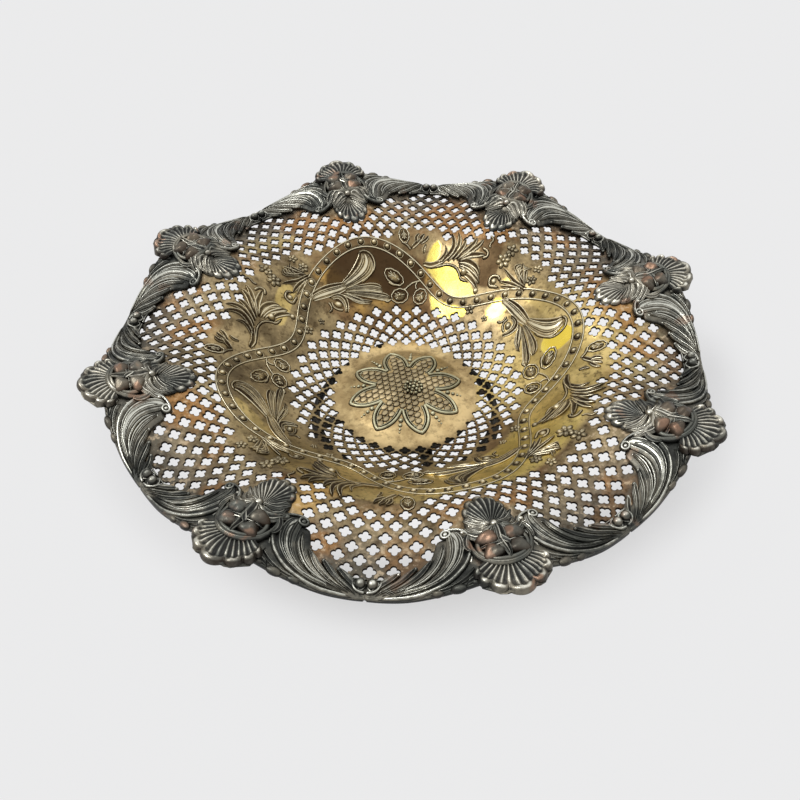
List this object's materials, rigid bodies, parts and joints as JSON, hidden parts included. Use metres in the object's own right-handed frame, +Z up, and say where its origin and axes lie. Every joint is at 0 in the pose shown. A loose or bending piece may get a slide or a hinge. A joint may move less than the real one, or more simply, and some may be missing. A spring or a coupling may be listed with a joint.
{
  "type": "pierced centerpiece bowl",
  "caption": "Round pierced metal bowl with a domed middle, a lobed rim, cast shell and leaf-scroll border and a low open foot, for fruit or as a table centre.",
  "frame": {"origin": "centre of the circle that the foot's lower band rests on, at the underside", "axes": "+Z up through the middle of the bowl; +X through the ridge under shell_cartouche_1"},
  "size_m": [0.368, 0.368, 0.086],
  "materials": {
    "gilt_sheet": "worn gilding with brown tarnish, polished in places",
    "oxidised_silver": "cast, silvered and oxidised dark in the recesses, bright on the worn edges",
    "shell_silver": "cast, silvered and oxidised, worn to copper on the bosses",
    "foot_silver": "spun and cast, dull silvering"
  },
  "bodies": {
    "root": {"bowl_body": "gilt_sheet", "foot_collar": "foot_silver", "foot_band": "foot_silver", "foot_bracket_1": "foot_silver", "foot_bracket_2": "foot_silver", "foot_bracket_3": "foot_silver", "foot_bracket_4": "foot_silver", "rim_border_1": "oxidised_silver", "rim_border_2": "oxidised_silver", "rim_border_3": "oxidised_silver", "rim_border_4": "oxidised_silver", "rim_border_5": "oxidised_silver", "rim_border_6": "oxidised_silver", "rim_border_7": "oxidised_silver", "rim_border_8": "oxidised_silver", "shell_cartouche_1": "shell_silver", "shell_cartouche_2": "shell_silver", "shell_cartouche_3": "shell_silver", "shell_cartouche_4": "shell_silver", "shell_cartouche_5": "shell_silver", "shell_cartouche_6": "shell_silver", "shell_cartouche_7": "shell_silver", "shell_cartouche_8": "shell_silver"}
  },
  "joints": []
}
